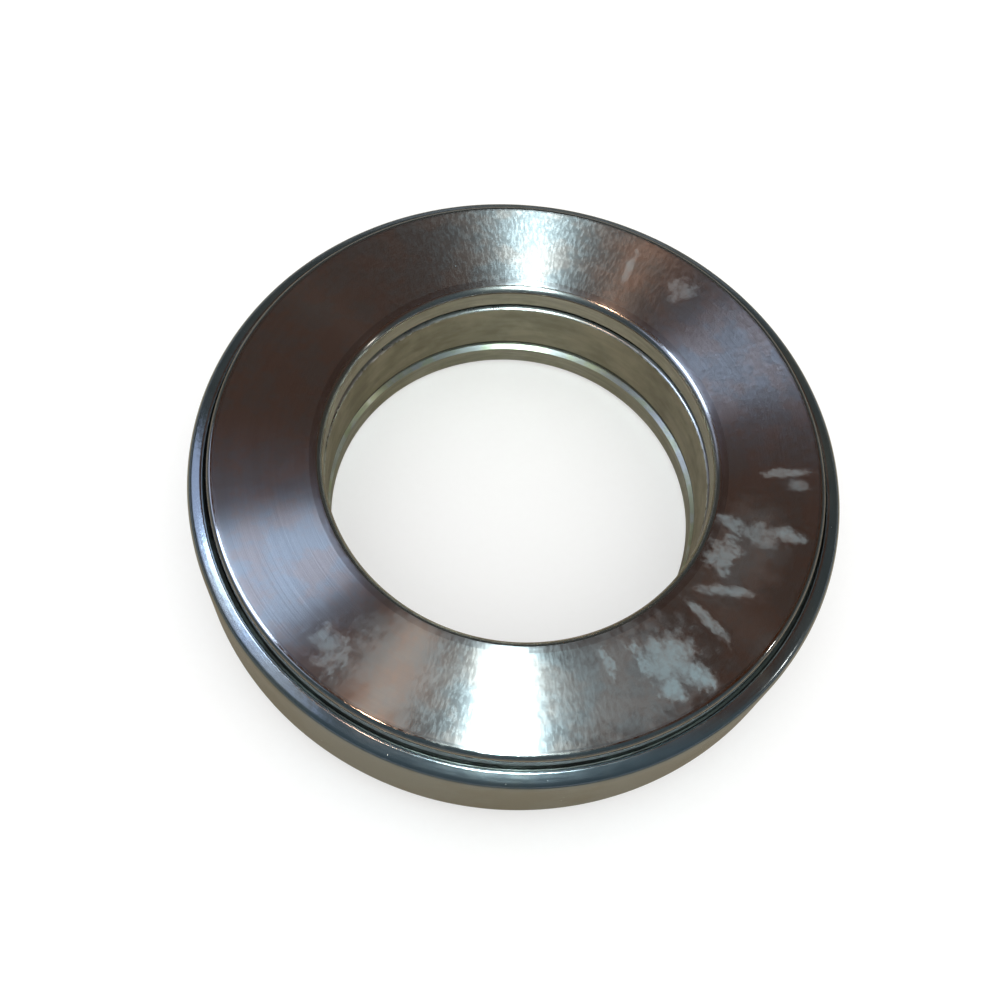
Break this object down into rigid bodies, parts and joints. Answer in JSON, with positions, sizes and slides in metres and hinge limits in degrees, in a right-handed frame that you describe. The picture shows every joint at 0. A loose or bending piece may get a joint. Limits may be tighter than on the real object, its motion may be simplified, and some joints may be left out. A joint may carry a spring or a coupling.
{
  "type": "thrust ball bearing",
  "caption": "Banded single-direction thrust ball bearing: a flat ground pressure washer turns on caged balls over a seat washer, inside a rolled steel band.",
  "frame": {"origin": "centre of the seat face, on the bearing axis", "axes": "+Z along the bearing axis, from the seat washer to the pressure washer"},
  "size_m": [0.108, 0.108, 0.023],
  "materials": {
    "ground_face_steel": "hardened bearing steel, face ground in fine concentric rings, corners polished",
    "race_steel": "hardened bearing steel, turned and ground, with a thin film of preserving oil",
    "band_steel": "pressed sheet steel, rolled over at both ends, bright zinc plate with small dents",
    "sleeve_steel": "pressed sheet steel with a thin yellow-green passivated film",
    "cage_steel": "pressed sheet steel, tumbled, oiled",
    "rivet_steel": "soft steel rivets with closed heads",
    "ball_steel": "lapped chrome-steel balls, mirror bright"
  },
  "bodies": {
    "seat_side": {"seat_washer": "race_steel", "outer_band": "band_steel", "inner_sleeve": "sleeve_steel"},
    "pressure_side": {"pressure_washer": "ground_face_steel"},
    "cage": {"cage_upper_half": "cage_steel", "cage_lower_half": "cage_steel", "cage_rivets": "rivet_steel"},
    "ball_01": {"ball_01": "ball_steel"},
    "ball_02": {"ball_02": "ball_steel"},
    "ball_03": {"ball_03": "ball_steel"},
    "ball_04": {"ball_04": "ball_steel"},
    "ball_05": {"ball_05": "ball_steel"},
    "ball_06": {"ball_06": "ball_steel"},
    "ball_07": {"ball_07": "ball_steel"},
    "ball_08": {"ball_08": "ball_steel"},
    "ball_09": {"ball_09": "ball_steel"},
    "ball_10": {"ball_10": "ball_steel"},
    "ball_11": {"ball_11": "ball_steel"},
    "ball_12": {"ball_12": "ball_steel"},
    "ball_13": {"ball_13": "ball_steel"},
    "ball_14": {"ball_14": "ball_steel"}
  },
  "joints": [
    {"name": "washer_spin", "type": "hinge", "parent": "seat_side", "child": "pressure_side", "pos_m": [0, 0, 0.02], "axis": [0, 0, 1], "continuous": true},
    {"name": "cage_spin", "type": "hinge", "parent": "seat_side", "child": "cage", "pos_m": [0, 0, 0.01212], "axis": [0, 0, 1], "continuous": true},
    {"name": "ball_01_roll", "type": "hinge", "parent": "cage", "child": "ball_01", "pos_m": [0.04288, 0, 0.01212], "axis": [1, 0, 0], "continuous": true},
    {"name": "ball_02_roll", "type": "hinge", "parent": "cage", "child": "ball_02", "pos_m": [0.03863, 0.0186, 0.01212], "axis": [0.901, 0.4339, 0], "continuous": true},
    {"name": "ball_03_roll", "type": "hinge", "parent": "cage", "child": "ball_03", "pos_m": [0.02673, 0.03352, 0.01212], "axis": [0.6235, 0.7818, 0], "continuous": true},
    {"name": "ball_04_roll", "type": "hinge", "parent": "cage", "child": "ball_04", "pos_m": [0.00954, 0.0418, 0.01212], "axis": [0.2225, 0.9749, 0], "continuous": true},
    {"name": "ball_05_roll", "type": "hinge", "parent": "cage", "child": "ball_05", "pos_m": [-0.00954, 0.0418, 0.01212], "axis": [-0.2225, 0.9749, 0], "continuous": true},
    {"name": "ball_06_roll", "type": "hinge", "parent": "cage", "child": "ball_06", "pos_m": [-0.02673, 0.03352, 0.01212], "axis": [-0.6235, 0.7818, 0], "continuous": true},
    {"name": "ball_07_roll", "type": "hinge", "parent": "cage", "child": "ball_07", "pos_m": [-0.03863, 0.0186, 0.01212], "axis": [-0.901, 0.4339, 0], "continuous": true},
    {"name": "ball_08_roll", "type": "hinge", "parent": "cage", "child": "ball_08", "pos_m": [-0.04288, 0, 0.01212], "axis": [-1, 0, 0], "continuous": true},
    {"name": "ball_09_roll", "type": "hinge", "parent": "cage", "child": "ball_09", "pos_m": [-0.03863, -0.0186, 0.01212], "axis": [-0.901, -0.4339, 0], "continuous": true},
    {"name": "ball_10_roll", "type": "hinge", "parent": "cage", "child": "ball_10", "pos_m": [-0.02673, -0.03352, 0.01212], "axis": [-0.6235, -0.7818, 0], "continuous": true},
    {"name": "ball_11_roll", "type": "hinge", "parent": "cage", "child": "ball_11", "pos_m": [-0.00954, -0.0418, 0.01212], "axis": [-0.2225, -0.9749, 0], "continuous": true},
    {"name": "ball_12_roll", "type": "hinge", "parent": "cage", "child": "ball_12", "pos_m": [0.00954, -0.0418, 0.01212], "axis": [0.2225, -0.9749, 0], "continuous": true},
    {"name": "ball_13_roll", "type": "hinge", "parent": "cage", "child": "ball_13", "pos_m": [0.02673, -0.03352, 0.01212], "axis": [0.6235, -0.7818, 0], "continuous": true},
    {"name": "ball_14_roll", "type": "hinge", "parent": "cage", "child": "ball_14", "pos_m": [0.03863, -0.0186, 0.01212], "axis": [0.901, -0.4339, 0], "continuous": true}
  ],
  "couplings": [
    {"joint": "cage_spin", "follows": "washer_spin", "ratio": 0.5},
    {"joint": "ball_01_roll", "follows": "washer_spin", "ratio": -3.376},
    {"joint": "ball_02_roll", "follows": "washer_spin", "ratio": -3.376},
    {"joint": "ball_03_roll", "follows": "washer_spin", "ratio": -3.376},
    {"joint": "ball_04_roll", "follows": "washer_spin", "ratio": -3.376},
    {"joint": "ball_05_roll", "follows": "washer_spin", "ratio": -3.376},
    {"joint": "ball_06_roll", "follows": "washer_spin", "ratio": -3.376},
    {"joint": "ball_07_roll", "follows": "washer_spin", "ratio": -3.376},
    {"joint": "ball_08_roll", "follows": "washer_spin", "ratio": -3.376},
    {"joint": "ball_09_roll", "follows": "washer_spin", "ratio": -3.376},
    {"joint": "ball_10_roll", "follows": "washer_spin", "ratio": -3.376},
    {"joint": "ball_11_roll", "follows": "washer_spin", "ratio": -3.376},
    {"joint": "ball_12_roll", "follows": "washer_spin", "ratio": -3.376},
    {"joint": "ball_13_roll", "follows": "washer_spin", "ratio": -3.376},
    {"joint": "ball_14_roll", "follows": "washer_spin", "ratio": -3.376}
  ]
}
